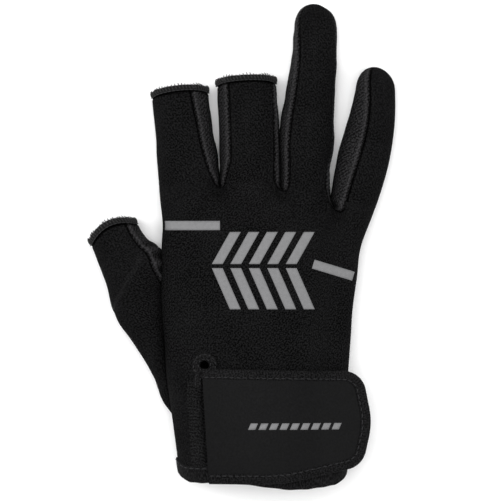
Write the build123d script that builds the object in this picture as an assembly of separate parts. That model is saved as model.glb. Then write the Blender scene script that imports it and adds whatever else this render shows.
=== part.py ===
"""A right-hand sailing glove with three cut fingers, laid palm down with its strap closed.

Frame, in millimetres: +Z points away from the back of the hand, +Y towards the fingertips and +X towards
the little finger. The origin is under the middle of the palm, on the plane that the glove rests on.
"""

import math
import os

from build123d import *

# ---- Cloth and tape
WALL = 1.8  # jersey-faced foam laminate of every panel
SOLE = 1.0  # the palm hangs this far above the resting plane, on its reinforcement and the hem tape
TAPE = 0.9  # thickness of the hem tape on one face of a panel
TAPE_WIDTH = 8.0
LAYER_GAP = 0.06  # between two layers of one body
FOLD_GAP = 0.4  # free width of a fold line between two bodies

# ---- Cross-section of every tube
SEAM_SHARE = 0.40  # height of the widest line, as a share of the tube's height
CORNER_SHARE = 0.5  # width of a lower corner, as a share of the half width
CORNER_MAX = 13.0
CORNER_MIN = 0.1  # on the inside of a narrow tube with a thick wall
PALM_EDGE = 4.5  # height of the seam between a finger's palm strip and its other panels

# ---- Overall sizes, and the sizes that the tables below are drawn at
PALM_WIDTH = 95.0  # across the palm as it lies
LENGTH = 242.0  # from the cuff's end to the tip of the ring finger
DEPTH = 31.5  # through the cuff
WIDE, LONG, DEEP = PALM_WIDTH / 95.0, LENGTH / 242.0, DEPTH / 31.5


def stations_at_size(*stations):
    """Stations of a tube: x, y, turn from +Y towards +X in degrees, half width, height."""
    return [(x * WIDE, y * LONG, turn, half * WIDE, high * DEEP) for x, y, turn, half, high in stations]


def plan(*points):
    """Points in plan, at the glove's size; whatever follows x and y in a point is kept."""
    return [(x * WIDE, y * LONG, *rest) for x, y, *rest in points]


# ---- Tubes
HAND = stations_at_size(
    (3.0, -102.5, 0, 41.5, 31.5),
    (2.2, -75, 0, 43.2, 31.0),
    (0.6, -46, 0, 45.4, 30.0),
    (0.9, -15, 0, 47.4, 29.0),
    (1.9, 10, 0, 49.3, 27.5),
    (5.2, 30, 0, 52.0, 24.5),
    (7.5, 46, 0, 55.3, 21.5),
)
CUFF_END = HAND[0][1]
CROTCH_Y = HAND[-1][1]  # the index, middle and ring fingers part here
LITTLE_CROTCH = plan((37.5, 40.5))[0]  # the little finger parts from the ring finger here

INDEX = stations_at_size((-32.5, 37, -5.4, 14.2, 20), (-34, 53, -5.4, 14.2, 19.5), (-38.1, 96.5, -5.4, 14, 18))
MIDDLE = stations_at_size((-2.2, 37, -2.6, 14.2, 20.5), (-2.9, 53, -2.6, 14.3, 20), (-5.1, 101.5, -2.6, 14.6, 18))
RING = stations_at_size(
    (24.4, 37, 3, 11.4, 20.0),
    (25.2, 53, 3, 11.6, 19.5),
    (25.9, 84, 3, 12.5, 18.0),
    (28.6, 112, 3, 11.0, 16.5),
    (29.4, 124, 3, 10.5, 15.5),
)
LITTLE = stations_at_size(
    (47.9, 29, 11.6, 12.0, 18.5),
    (50.8, 43, 11.6, 12.2, 18.0),
    (53.8, 60, 11.0, 12.8, 17.0),
    (57.4, 76, 8.6, 11.8, 16.0),
    (59.3, 90, 4.0, 10.4, 15.0),
    (59.8, 96, 2.0, 9.7, 14.5),
)
THUMB = stations_at_size(
    (-42.0, -60, 0, 4.2, 9.0),
    (-45.5, -44, 0, 8.3, 13.0),
    (-49.6, -29, -8, 12.5, 17.0),
    (-57.5, -11, -16, 15.0, 19.5),
    (-64.3, 10.4, -23.4, 14.4, 20.0),
    (-68.3, 17.0, -23.4, 13.0, 18.5),
    (-72.2, 26.0, -23.4, 12.6, 17.5),
)
RING_TIP = 14.3 * LONG  # length of a closed fingertip past its last station
LITTLE_TIP = 10.7 * LONG
TIP_LEANS = (20, 38, 54, 68, 79, 86)  # degrees round a closed fingertip, where it has stations

# ---- Fold lines, where a piece bends: x, y, turn of the part beyond
INDEX_FOLD = INDEX[1][:3]
MIDDLE_FOLD = MIDDLE[1][:3]
RING_FOLD = RING[1][:3]
RING_TIP_FOLD = plan((26.7, 92, 3))[0]
LITTLE_FOLD = LITTLE[1][:3]
LITTLE_TIP_FOLD = LITTLE[3][:3]
THUMB_TIP_FOLD = THUMB[4][:3]
THUMB_FOLD = plan((-48.0, 16.0), (-45.2, -61.6))  # where the thumb folds against the hand

# ---- Side strips of the fingers: offset of a back panel's edge from its fold's middle, at the fold and
# at the far end. None leaves the back panel wrapped round that side.
INDEX_EDGES = (None, (12.0, 5.1))
MIDDLE_EDGES = ((-9.6, -9.1), (12.6, 13.4))
RING_EDGES = ((-9.0, -8.6), (10.6, 11.4))
RING_TIP_EDGES = ((-8.6, -6.6), (10.6, 8.6))
LITTLE_EDGES = ((-4.0, -3.6), None)
LITTLE_TIP_EDGES = ((-4.2, -3.4), None)
THUMB_TIP_EDGES = (None, (5.0, 5.6))
THUMB_WEB = plan((-57.2, 12.6), (-55.8, 8.6), (-52.6, 6.2), (-50.2, 2.2), (-46, 1.0), (-46, 22), (-60, 22))

# ---- Windows round each crotch that its gusset fills
CROTCHES = {
    "index_middle_crotch": plan((-22, 60), (-21.4, 48), (-19, 43.5), (-16.6, 48), (-13.5, 52), (-12, 60)),
    "middle_ring_crotch": plan((9.3, 60), (9.3, 50), (13.2, 43.5), (15.9, 46), (15.9, 60)),
    "ring_little_crotch": plan((35.6, 60), (35.2, 42), (38.4, 36), (41.5, 34.6), (45.4, 38), (47.4, 50), (46, 60)),
}

# ---- Hems of the cut fingers
HEM = 3.4  # length of an overlocked hem
HEM_PROUD = 0.7

# ---- Cuff opening: a slit with a taped eye at its end
EYE = plan((-26.7, -42.0))[0]
EYE_RADIUS = 2.0
EYE_TAPE = 4.0  # width of the tape round the eye
EYE_HEIGHT = 2.2
SLIT_TOP_WIDTH = 3.0
SLIT_END = (-19.5 * WIDE, 6.0)  # middle and width of the slit at the cuff's end

# ---- Wrist strap
STRAP_ROOT = plan((-26.9, -44.4), (-23.4, -101.4))
STRAP_END = plan((52.5, -45.8, 8), (57.6, -71.0, 40), (52.8, -92.2, 8), (14.0, -101.2, 80))  # x, y, radius
STRAP_TAPE = 4.5
STRAP_LIFT = 1.9  # between the cuff and the strap, for the two fastener patches
STRAP_THICK = 3.0
STRAP_TAPE_PROUD = 0.45
STRAP_LEAVES = 47  # degrees round the cuff's crown where the strap runs off straight
PATCH = 0.6  # thickness of a hook or loop patch
PATCH_REST = 0.35  # free height under a patch and between the two
LOOP_PATCH = plan((-14, -91), (36, -54))
HOOK_PATCH = plan((4, -87), (33, -57))
FOLD_TAB = 6.0  # width of the cuff cloth turned over the strap's root
FOLD_TAB_HEIGHT = 3.0
FOLD_TAB_ENDS = (-50.4 * LONG, -93.4 * LONG)

# ---- Palm reinforcement
PATCH_SOLE = plan((-30, -58), (32, -58), (41, -20), (43, 24), (33, 34), (-26, 35), (-34, 28), (-35, -20))

# ---- Printed marks
FILM = 0.3
BAR = 4.6  # width of the long bars
LEFT_BAR = plan((-46.0, 27.2), (-18.0, 27.2))
RIGHT_BAR = plan((28.5, 8.0), (50.0, 1.5))
STRIPES = 5
STRIPE_WIDTH = 5.4
STRIPE_PITCH = 9.2
STRIPE_SLANT = 9.0
STRIPE_START = -22.0
STRIPE_ROWS = ((8.0, 24.0), (6.0, -14.5))
DASHES = 9
DASH = (3.6, 3.2)  # width and height of a dash on the strap
DASH_PITCH = 5.2
DASH_START = plan((-4.0, -72.6))[0]
DASH_SLANT = 1.4

REACH = 400.0  # larger than the glove
CRUMB = 1.0  # a cut-off solid of less volume than this is left out


def ring_face(x, y, turn, half_width, corner, low, seam, high):
    """A cross-section: a flat sole, two elliptical lower corners and an elliptical crown."""
    lean = math.radians(turn)
    plane = Plane(
        origin=(x, y, 0),
        x_dir=(math.cos(lean), -math.sin(lean), 0),
        z_dir=(-math.sin(lean), -math.cos(lean), 0),
    )
    inset = half_width - corner
    outline = [
        EllipticalCenterArc((0, seam), half_width, high - seam, 0, arc_size=180),
        EllipticalCenterArc((-inset, seam), corner, seam - low, 180, arc_size=90),
        Line((-inset, low), (inset, low)),
        EllipticalCenterArc((inset, seam), corner, seam - low, 270, arc_size=90),
    ]
    return plane * make_face(outline)


def tube(stations, grow=0.0, tip=0.0, base=0.0):
    """A tube through its stations, grown outwards, with a closed end of the length tip if it isn't 0."""
    faces = []
    for x, y, turn, half_width, height in stations:
        corner = min(CORNER_MAX, CORNER_SHARE * half_width)
        seam = base + SEAM_SHARE * height
        faces.append(
            ring_face(
                x, y, turn, half_width + grow, max(corner + grow, CORNER_MIN), base - grow, seam, base + height + grow
            )
        )
    body = loft(faces)
    if not tip:
        return body
    cap = [faces[-1]]
    for lean in TIP_LEANS:
        ahead = (tip + grow) * math.sin(math.radians(lean))
        share = math.cos(math.radians(lean))
        cap.append(
            ring_face(
                x + ahead * math.sin(math.radians(turn)),
                y + ahead * math.cos(math.radians(turn)),
                turn,
                (half_width + grow) * share,
                (corner + grow) * share,
                seam - (seam - base + grow) * share,
                seam,
                seam + (base + height + grow - seam) * share,
            )
        )
    return body + loft(cap, ruled=True)


def prism(points, low=-REACH, high=REACH):
    """A plan outline carried straight up."""
    return Pos(0, 0, low) * extrude(make_face(Polyline(points, close=True)), high - low)


def in_frame(fold, points):
    """Points given across and along a fold's frame, in the glove's frame."""
    x, y, turn = fold
    lean = math.radians(turn)
    return [
        (x + a * math.cos(lean) + b * math.sin(lean), y - a * math.sin(lean) + b * math.cos(lean))
        for a, b in points
    ]


def beyond(fold, side=1):
    """All that lies beyond a fold line, or on the hand's side of it, short of half the fold's gap."""
    near = side * FOLD_GAP / 2
    far = side * REACH / 2
    wide = 30.0
    return prism(in_frame(fold, [(-wide, near), (wide, near), (wide, far), (-wide, far)]))


def solids_of(shape):
    """The solids of a boolean's result as one part, without the crumbs that it leaves."""
    return Compound(children=[solid for solid in shape.solids() if solid.volume > CRUMB])


def panels(name, shell, fold, length, edges):
    """Cuts a finger's shell into its palm strip, its back panel and the strips of its sides."""
    cut = {f"{name}_palm": shell & prism([(-REACH, -REACH), (REACH, -REACH), (REACH, REACH), (-REACH, REACH)],
                                         high=PALM_EDGE)}
    rest = shell - prism([(-REACH, -REACH), (REACH, -REACH), (REACH, REACH), (-REACH, REACH)], high=PALM_EDGE)
    wide = 40.0
    for side, edge in (("left", edges[0]), ("right", edges[1])):
        if edge is None:
            continue
        out = -wide if side == "left" else wide
        zone = prism(
            in_frame(fold, [(edge[0], -wide), (edge[0], 0), (edge[1], length), (edge[1], length + wide),
                            (out, length + wide), (out, -wide)])
        )
        cut[f"{name}_{side}_fourchette"] = rest & zone
        rest = rest - zone
    cut[f"{name}_back"] = rest
    return cut


def hand_station(y):
    """The hand's station at y, on straight lines between the stations of its table and past their ends."""
    low, high = HAND[0], HAND[1]
    for first, second in zip(HAND, HAND[1:]):
        if y >= first[1]:
            low, high = first, second
    share = (y - low[1]) / (high[1] - low[1])
    return tuple(p + share * (q - p) for p, q in zip(low, high))


def crown_face(y, low, high):
    """The strap's profile at y: it follows the crown of the cuff, then runs off straight."""
    x, _, _, half_width, height = hand_station(y)
    seam = SOLE + SEAM_SHARE * height

    def line(lift):
        across, up = half_width + lift, SOLE + height - seam + lift
        start = math.acos((STRAP_ROOT[0][0] - FOLD_TAB - 3 - x) / across)
        end = math.radians(STRAP_LEAVES)
        angles = [start + (end - start) * i / 6 for i in range(7)]
        points = [(x + across * math.cos(t), seam + up * math.sin(t)) for t in angles]
        slope = -up * math.cos(end) / (across * math.sin(end))
        run = STRAP_END[1][0] + 6 - points[-1][0]
        return points, (points[-1][0] + run, points[-1][1] + slope * run)

    low_points, low_end = line(low)
    high_points, high_end = line(high)
    plane = Plane(origin=(0, y, 0), x_dir=(1, 0, 0), z_dir=(0, -1, 0))
    outline = [
        Spline(*low_points),
        Line(low_points[-1], low_end),
        Line(low_end, high_end),
        Line(high_end, high_points[-1]),
        Spline(*reversed(high_points)),
        Line(high_points[0], low_points[0]),
    ]
    return plane * make_face(outline)


def crown_layer(low, high):
    """A layer over the cuff's crown, between two lifts above it."""
    stops = [CUFF_END - 4, CUFF_END, HAND[1][1], HAND[2][1], STRAP_ROOT[0][1] + 6]
    return loft([crown_face(y, low, high) for y in stops], ruled=True)


def strap_outline(past_root=0.0):
    """The strap in plan, with its round end, reaching past its root on the thumb's side."""
    (x0, y0), (x1, y1) = STRAP_ROOT
    corners = [(x0 - past_root, y0), *((x, y) for x, y, _ in STRAP_END), (x1 - past_root, y1)]
    face = make_face(Polyline(corners, close=True))
    for x, y, radius in STRAP_END:
        corner = face.vertices().sort_by_distance((x, y, 0))[0]
        face = fillet(corner, radius)
    return face


def upright(face):
    """A plan face carried straight up."""
    return Pos(0, 0, -10) * extrude(face, 80)


def slanted(x, y, width, height, slant):
    """A parallelogram in plan, standing on y."""
    return [(x, y), (x + width, y), (x + width + slant, y + height), (x + slant, y + height)]


def bar(ends, width):
    """A straight bar between two points."""
    (x0, y0), (x1, y1) = ends
    length = math.hypot(x1 - x0, y1 - y0)
    across = (-(y1 - y0) / length * width / 2, (x1 - x0) / length * width / 2)
    return [
        (x0 - across[0], y0 - across[1]),
        (x1 - across[0], y1 - across[1]),
        (x1 + across[0], y1 + across[1]),
        (x0 + across[0], y0 + across[1]),
    ]


nodes = {}
above_seam = prism([(-REACH, -REACH), (REACH, -REACH), (REACH, REACH), (-REACH, REACH)],
                   low=SOLE + SEAM_SHARE * HAND[0][4])

# ---- The tubes, outside and inside
fingers = {"index": (INDEX, 0.0), "middle": (MIDDLE, 0.0), "ring": (RING, RING_TIP), "little": (LITTLE, LITTLE_TIP)}
folds = {"index": INDEX_FOLD, "middle": MIDDLE_FOLD, "ring": RING_FOLD, "little": LITTLE_FOLD}
outer = {name: tube(stations, tip=tip) for name, (stations, tip) in fingers.items()}
inner = {name: tube(stations, -WALL, tip, 0.0) for name, (stations, tip) in fingers.items()}
thumb_outer = tube(THUMB)
thumb_inner = tube(THUMB, -WALL)

lean = math.tan(math.radians(LITTLE_FOLD[2]))


def hand_plan(inset):
    """The hand in plan, out to its crotches: straight across three fingers and square to the little one."""
    x, y = LITTLE_CROTCH
    far = 90.0
    return prism([(-REACH, -REACH), (-REACH, CROTCH_Y - inset), (x - inset, CROTCH_Y - inset),
                  (x - inset, y - inset), (far, y - inset - (far - x) * lean), (far, -REACH)])


hand_outer = tube(HAND, base=SOLE)
hand_inner = tube(HAND, -WALL, base=SOLE) & hand_plan(WALL)
hand_shell = hand_outer & hand_plan(0)
for name, fold in folds.items():
    hand_shell += outer[name] & beyond(fold, -1)
hand_shell -= hand_inner
for name in folds:
    hand_shell -= inner[name]
hand_shell -= thumb_inner

# ---- Fingers
ends = {"index": INDEX[-1], "middle": MIDDLE[-1]}
for name, edges in (("index", INDEX_EDGES), ("middle", MIDDLE_EDGES)):
    stations = fingers[name][0]
    length = math.dist(stations[1][:2], stations[2][:2])
    shell = (outer[name] - inner[name]) & beyond(folds[name])
    nodes |= panels(name, shell, folds[name], length, edges)
    hem_zone = beyond((*in_frame(folds[name], [(0, length - HEM)])[0], folds[name][2]))
    band = tube(stations, HEM_PROUD) - tube(stations, LAYER_GAP)
    low_side = prism([(-REACH, -REACH), (REACH, -REACH), (REACH, REACH), (-REACH, REACH)], low=0)
    nodes[f"{name}_hem"] = band & hem_zone & low_side

for name, tip_fold, edges, tip_edges in (
    ("ring", RING_TIP_FOLD, RING_EDGES, RING_TIP_EDGES),
    ("little", LITTLE_TIP_FOLD, LITTLE_EDGES, LITTLE_TIP_EDGES),
):
    shell = outer[name] - inner[name]
    length = math.dist(folds[name][:2], tip_fold[:2])
    nodes |= panels(name, shell & beyond(folds[name]) & beyond(tip_fold, -1), folds[name], length, edges)
    length = math.dist(tip_fold[:2], fingers[name][0][-1][:2])
    nodes |= panels(f"{name}_tip", shell & beyond(tip_fold), tip_fold, length, tip_edges)

# ---- Thumb
(fold_x0, fold_y0), (fold_x1, fold_y1) = THUMB_FOLD
slope = (fold_x1 - fold_x0) / (fold_y1 - fold_y0)
edge_x = [fold_x0 + slope * (y - fold_y0) - FOLD_GAP / 2 for y in (60, -90)]
thumb_side = prism([(edge_x[0], 60), (edge_x[1], -90), (-REACH, -90), (-REACH, 60)])
thumb_shell = thumb_outer - thumb_inner
thumb_base = thumb_shell & thumb_side & beyond(THUMB_TIP_FOLD, -1)
level = prism([(-REACH, -REACH), (REACH, -REACH), (REACH, REACH), (-REACH, REACH)], high=PALM_EDGE)
web = prism(THUMB_WEB, low=PALM_EDGE)
nodes["thumb_base_palm"] = thumb_base & level
nodes["thumb_web"] = thumb_base & web
nodes["thumb_base_back"] = thumb_base - level - web
length = math.dist(THUMB[4][:2], THUMB[5][:2])
nodes |= panels("thumb_tip", thumb_shell & beyond(THUMB_TIP_FOLD), THUMB_TIP_FOLD, length, THUMB_TIP_EDGES)
hem_zone = beyond((*in_frame(THUMB_TIP_FOLD, [(0, length - HEM)])[0], THUMB_TIP_FOLD[2]))
nodes["thumb_hem"] = (tube(THUMB, HEM_PROUD) - tube(THUMB, LAYER_GAP)) & hem_zone & low_side

# ---- Hand panels, cut at the widest line, round the crotches and along the slit
for name, outline in CROTCHES.items():
    window = prism(outline, low=PALM_EDGE)
    nodes[name] = hand_shell & window
    hand_shell -= window
slit_x, slit_width = SLIT_END
slit = prism([(EYE[0] - SLIT_TOP_WIDTH / 2, EYE[1]), (EYE[0] + SLIT_TOP_WIDTH / 2, EYE[1]),
              (slit_x + slit_width / 2, CUFF_END - 10), (slit_x - slit_width / 2, CUFF_END - 10)], low=18)
eye_hole = Pos(EYE[0], EYE[1], 15) * extrude(Circle(EYE_RADIUS), 40)
nodes["back_panel"] = (hand_shell & above_seam) - slit - eye_hole
nodes["palm_panel"] = hand_shell - above_seam

# ---- Cuff hem and the tape round the slit's eye
hem_length = TAPE_WIDTH + TAPE
tape_ends = (CUFF_END - TAPE, CUFF_END - TAPE + hem_length)
tape_outer = tube([hand_station(y) for y in tape_ends], TAPE, base=SOLE)
tape_inner = tube([hand_station(y) for y in (CUFF_END - 5, CUFF_END + 20)], -WALL, base=SOLE)
nodes["cuff_hem"] = tape_outer - tube(HAND, LAYER_GAP, base=SOLE) - tape_inner - slit
strap_face = strap_outline()
eye_ring = Pos(EYE[0], EYE[1], 15) * extrude(Circle(EYE_RADIUS + EYE_TAPE) - Circle(EYE_RADIUS), 40)
strap_zone = upright(offset(strap_face, FOLD_GAP))
nodes["slit_eye"] = (
    ((tube(HAND, EYE_HEIGHT, base=SOLE) - tube(HAND, LAYER_GAP, base=SOLE)) & eye_ring) - strap_zone
)

# ---- Wrist strap with its fastener patches, and the cuff cloth turned over its root
inset_face = offset(strap_outline(20), -STRAP_TAPE) & strap_face
nodes["strap_panel"] = crown_layer(STRAP_LIFT, STRAP_LIFT + STRAP_THICK) & upright(inset_face)
nodes["strap_tape"] = crown_layer(STRAP_LIFT - STRAP_TAPE_PROUD, STRAP_LIFT + STRAP_THICK + STRAP_TAPE_PROUD) & (
    upright(strap_face - inset_face)
)
(hx0, hy0), (hx1, hy1) = HOOK_PATCH
nodes["hook_patch"] = crown_layer(STRAP_LIFT - LAYER_GAP - PATCH, STRAP_LIFT - LAYER_GAP) & prism(
    [(hx0, hy0), (hx1, hy0), (hx1, hy1), (hx0, hy1)]
)
(lx0, ly0), (lx1, ly1) = LOOP_PATCH
clear_of_cuff = tube(HAND, LAYER_GAP, base=SOLE)
nodes["loop_patch"] = (
    crown_layer(PATCH_REST, PATCH_REST + PATCH) & prism([(lx0, ly0), (lx1, ly0), (lx1, ly1), (lx0, ly1)])
) - clear_of_cuff


def root_x(y):
    """The strap's root line at y."""
    (x0, y0), (x1, y1) = STRAP_ROOT
    return x0 + (x1 - x0) * (y - y0) / (y1 - y0)


tab_edges = [(root_x(y) - FOLD_GAP, y) for y in FOLD_TAB_ENDS]
tab_edges += [(x - FOLD_TAB, y) for x, y in reversed(tab_edges)]
nodes["strap_root_fold"] = (crown_layer(PATCH_REST, FOLD_TAB_HEIGHT) & prism(tab_edges)) - clear_of_cuff

# ---- Palm reinforcement
nodes["palm_reinforcement"] = prism(PATCH_SOLE, low=0, high=SOLE - LAYER_GAP)

# ---- Printed marks
film = (tube(HAND, LAYER_GAP + FILM, base=SOLE) - tube(HAND, LAYER_GAP, base=SOLE)) & above_seam
marks = [bar(LEFT_BAR, BAR), bar(RIGHT_BAR, BAR)]
for i in range(STRIPES):
    x = STRIPE_START + i * STRIPE_PITCH
    for start, end in STRIPE_ROWS:
        low, high = min(start, end), max(start, end)
        slant = STRIPE_SLANT if end > start else -STRIPE_SLANT
        shift = 0 if end > start else STRIPE_SLANT
        marks.append(slanted(x + shift, low, STRIPE_WIDTH, high - low, slant))
nodes["back_print"] = Compound(children=[s for m in marks for s in (film & prism(m, low=10)).solids()])
strap_film = crown_layer(STRAP_LIFT + STRAP_THICK + LAYER_GAP, STRAP_LIFT + STRAP_THICK + LAYER_GAP + FILM)
dashes = [slanted(DASH_START[0] + i * DASH_PITCH, DASH_START[1], DASH[0], DASH[1], DASH_SLANT)
          for i in range(DASHES)]
nodes["strap_print"] = Compound(children=[s for d in dashes for s in (strap_film & prism(d)).solids()])

os.makedirs("parts", exist_ok=True)
for name, shape in nodes.items():
    export_step(solids_of(shape), f"parts/{name}.step")
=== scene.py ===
"""A right-hand sailing glove with three cut fingers, lying palm down with its wrist strap closed."""

import math

import bmesh
import bpy
import numpy as np
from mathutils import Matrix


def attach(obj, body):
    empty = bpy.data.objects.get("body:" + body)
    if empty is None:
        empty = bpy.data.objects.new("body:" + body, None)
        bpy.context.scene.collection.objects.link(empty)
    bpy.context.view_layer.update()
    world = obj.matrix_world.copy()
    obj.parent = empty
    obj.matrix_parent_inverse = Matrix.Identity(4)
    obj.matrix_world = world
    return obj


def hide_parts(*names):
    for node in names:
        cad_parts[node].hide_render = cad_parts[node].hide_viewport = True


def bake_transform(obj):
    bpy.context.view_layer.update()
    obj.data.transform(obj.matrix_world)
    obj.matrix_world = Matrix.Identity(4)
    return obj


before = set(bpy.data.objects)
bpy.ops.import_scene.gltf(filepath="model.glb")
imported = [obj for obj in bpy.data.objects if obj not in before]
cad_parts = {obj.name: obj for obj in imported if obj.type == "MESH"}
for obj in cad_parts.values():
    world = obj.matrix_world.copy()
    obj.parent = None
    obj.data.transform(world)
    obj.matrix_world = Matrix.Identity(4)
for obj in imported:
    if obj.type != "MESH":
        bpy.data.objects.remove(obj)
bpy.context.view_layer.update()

# ---- Floor, light and camera
# A pale board under a wide soft light, seen from straight above. Lengths are in millimetres up to the
# point where a mesh or an object is placed.

MM = 0.001


def placed(name, data, paint=None):
    """Puts a mesh, with its material, or a lamp or camera into the scene."""
    thing = bpy.data.objects.new(name, data)
    bpy.context.scene.collection.objects.link(thing)
    if paint is not None:
        data.materials.append(paint)
    return thing


def new_paint(name):
    """A new material, its node tree and its shader."""
    paint = bpy.data.materials.new(name)
    paint.use_nodes = True
    return paint, paint.node_tree, paint.node_tree.nodes["Principled BSDF"]


def fill(node, inputs):
    """Sets each of a node's inputs to a value, or joins it to an output given as a socket."""
    for key, value in inputs.items():
        if isinstance(value, bpy.types.NodeSocket):
            node.id_data.links.new(value, node.inputs[key])
        else:
            node.inputs[key].default_value = value
    return node


FLOOR_REACH, FLOOR_Z, FLOOR_TONE = 3000 * MM, -0.1 * MM, 0.97
board = bpy.data.meshes.new("floor")
corners = [(x * FLOOR_REACH, y * FLOOR_REACH, FLOOR_Z) for x, y in ((-1, -1), (1, -1), (1, 1), (-1, 1))]
board.from_pydata(corners, [], [(0, 1, 2, 3)])
pale, _, shader = new_paint("floor")
fill(shader, {"Base Color": (FLOOR_TONE, FLOOR_TONE, FLOOR_TONE, 1), "Roughness": 0.9, "Specular IOR Level": 0.1})
placed("floor", board, pale)


LIGHT_AIM = (0, 10, 0)


def soft_light(name, place, size, watts):
    """A square lamp at a place, aimed at the glove's middle."""
    lamp = bpy.data.lights.new(name, "AREA")
    lamp.size = size * MM
    lamp.energy = watts
    holder = placed(name, lamp)
    holder.location = [c * MM for c in place]
    away = np.subtract(place, LIGHT_AIM).astype(float)
    flat = math.hypot(away[0], away[1])
    holder.rotation_euler = (math.atan2(flat, away[2]), 0, math.atan2(away[0], -away[1]))


soft_light("overhead", (-120, 260, 1500), 1500, 17)
soft_light("left_fill", (-1300, 300, 700), 700, 9)
soft_light("right_fill", (1300, -100, 800), 800, 7)

world = bpy.data.worlds.new("studio")
world.use_nodes = True
fill(world.node_tree.nodes["Background"], {"Color": (1, 1, 1, 1), "Strength": 0.78})
bpy.context.scene.world = world
bpy.context.scene.view_settings.view_transform = "Standard"

VIEW_HEIGHT = 3000
VIEW_MIDDLE = (-3.5, 14.75)
VIEW_PLANE = 12  # height at which the longer side of the picture covers VIEW_ACROSS
VIEW_ACROSS = 250.5
lens = bpy.data.cameras.new("camera")
lens.lens = lens.sensor_width * (VIEW_HEIGHT - VIEW_PLANE) / VIEW_ACROSS
lens.clip_end = 20
camera = placed("camera", lens)
camera.location = [c * MM for c in (*VIEW_MIDDLE, VIEW_HEIGHT)]
bpy.context.scene.camera = camera

# ---- Back of the hand
# One panel of foam laminate faced with black jersey. It runs from the cuff to the finger crotches, is cut
# to a U at each crotch, and wraps round both sides of the hand to the palm seam.


def along(table, s):
    """Rows of a table at s, its first column: a cubic between rows, straight on beyond the ends. The slope at
    a row is the mean slope of the chords on each side of it."""
    t = np.asarray(table, float)
    s = np.asarray(s, float)
    x, y = t[:, 0], t[:, 1:]
    slope = np.gradient(y, x, axis=0)
    inside = np.clip(s, x[0], x[-1])
    i = np.clip(np.searchsorted(x, inside, side="right") - 1, 0, len(x) - 2)
    h = (x[i + 1] - x[i])[..., None]
    p = (inside - x[i])[..., None] / h
    a = y[i] * (2 * p**3 - 3 * p**2 + 1) + y[i + 1] * (3 * p**2 - 2 * p**3)
    b = slope[i] * h * (p**3 - 2 * p**2 + p) + slope[i + 1] * h * (p**3 - p**2)
    end = np.where((s > x[-1])[..., None], slope[-1], slope[0])
    return a + b + end * (s - inside)[..., None]


def smooth(t):
    """0 before 0, 1 after 1 and 3t^2 - 2t^3 between."""
    t = np.clip(t, 0, 1)
    return t * t * (3 - 2 * t)


def normals(points):
    """Unit cross product of the two grid directions at each point of a grid."""
    across = np.gradient(points, axis=1)
    ahead = np.gradient(points, axis=0)
    n = np.cross(across, ahead)
    length = np.linalg.norm(n, axis=2, keepdims=True)
    return n / np.where(length > 1e-9, length, 1)


def seam_edge(d, roll, welt):
    """Rise of a panel at a distance d from its sewn edge: it rolls in at the stitch line, after a low welt."""
    return -roll * np.exp(-((d / 0.8) ** 2)) + welt * np.exp(-(((d - 1.8) / 0.9) ** 2))


def seam_shade_and_highlight(d, dark, light):
    """Painted light at a distance d from a sewn edge: painted shade in the stitch line, a painted highlight on
    the welt beside it.
    """
    return light * np.exp(-(((d - 1.5) / 0.75) ** 2)) - dark * np.exp(-((d / 0.75) ** 2))


WAVES = ((1, 0.3, 0.2), (-0.4, 1, 0.5), (0.7, -0.8, 0.3), (0.2, 0.6, -1))


def ripple(points, size):
    """Slow unevenness of soft cloth, from -1 to 1: the mean of a few sines of the place along fixed
    directions, each bent by the one before it."""
    total = np.zeros(points.shape[:-1])
    bend = 0.0
    for k, wave in enumerate(WAVES):
        phase = points @ np.array(wave) * (2 * math.pi / (size * (1 + 0.37 * k)))
        bend = np.sin(phase + 1.3 * bend + k)
        total = total + bend
    return total / len(WAVES)


def length_to(points, axis=0):
    """Length along a line, or along each row or column of a grid, up to each of its points."""
    steps = np.linalg.norm(np.diff(points, axis=axis), axis=-1)
    return np.concatenate([0 * steps.take([0], axis), np.cumsum(steps, axis=axis)], axis=axis)


def cloth_uv(points):
    """Lengths along the cloth, in millimetres: across from each row's middle, and along from the first row."""
    u = length_to(points, axis=1)
    return np.stack([u - u[:, [u.shape[1] // 2]], length_to(points)], axis=2)


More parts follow.
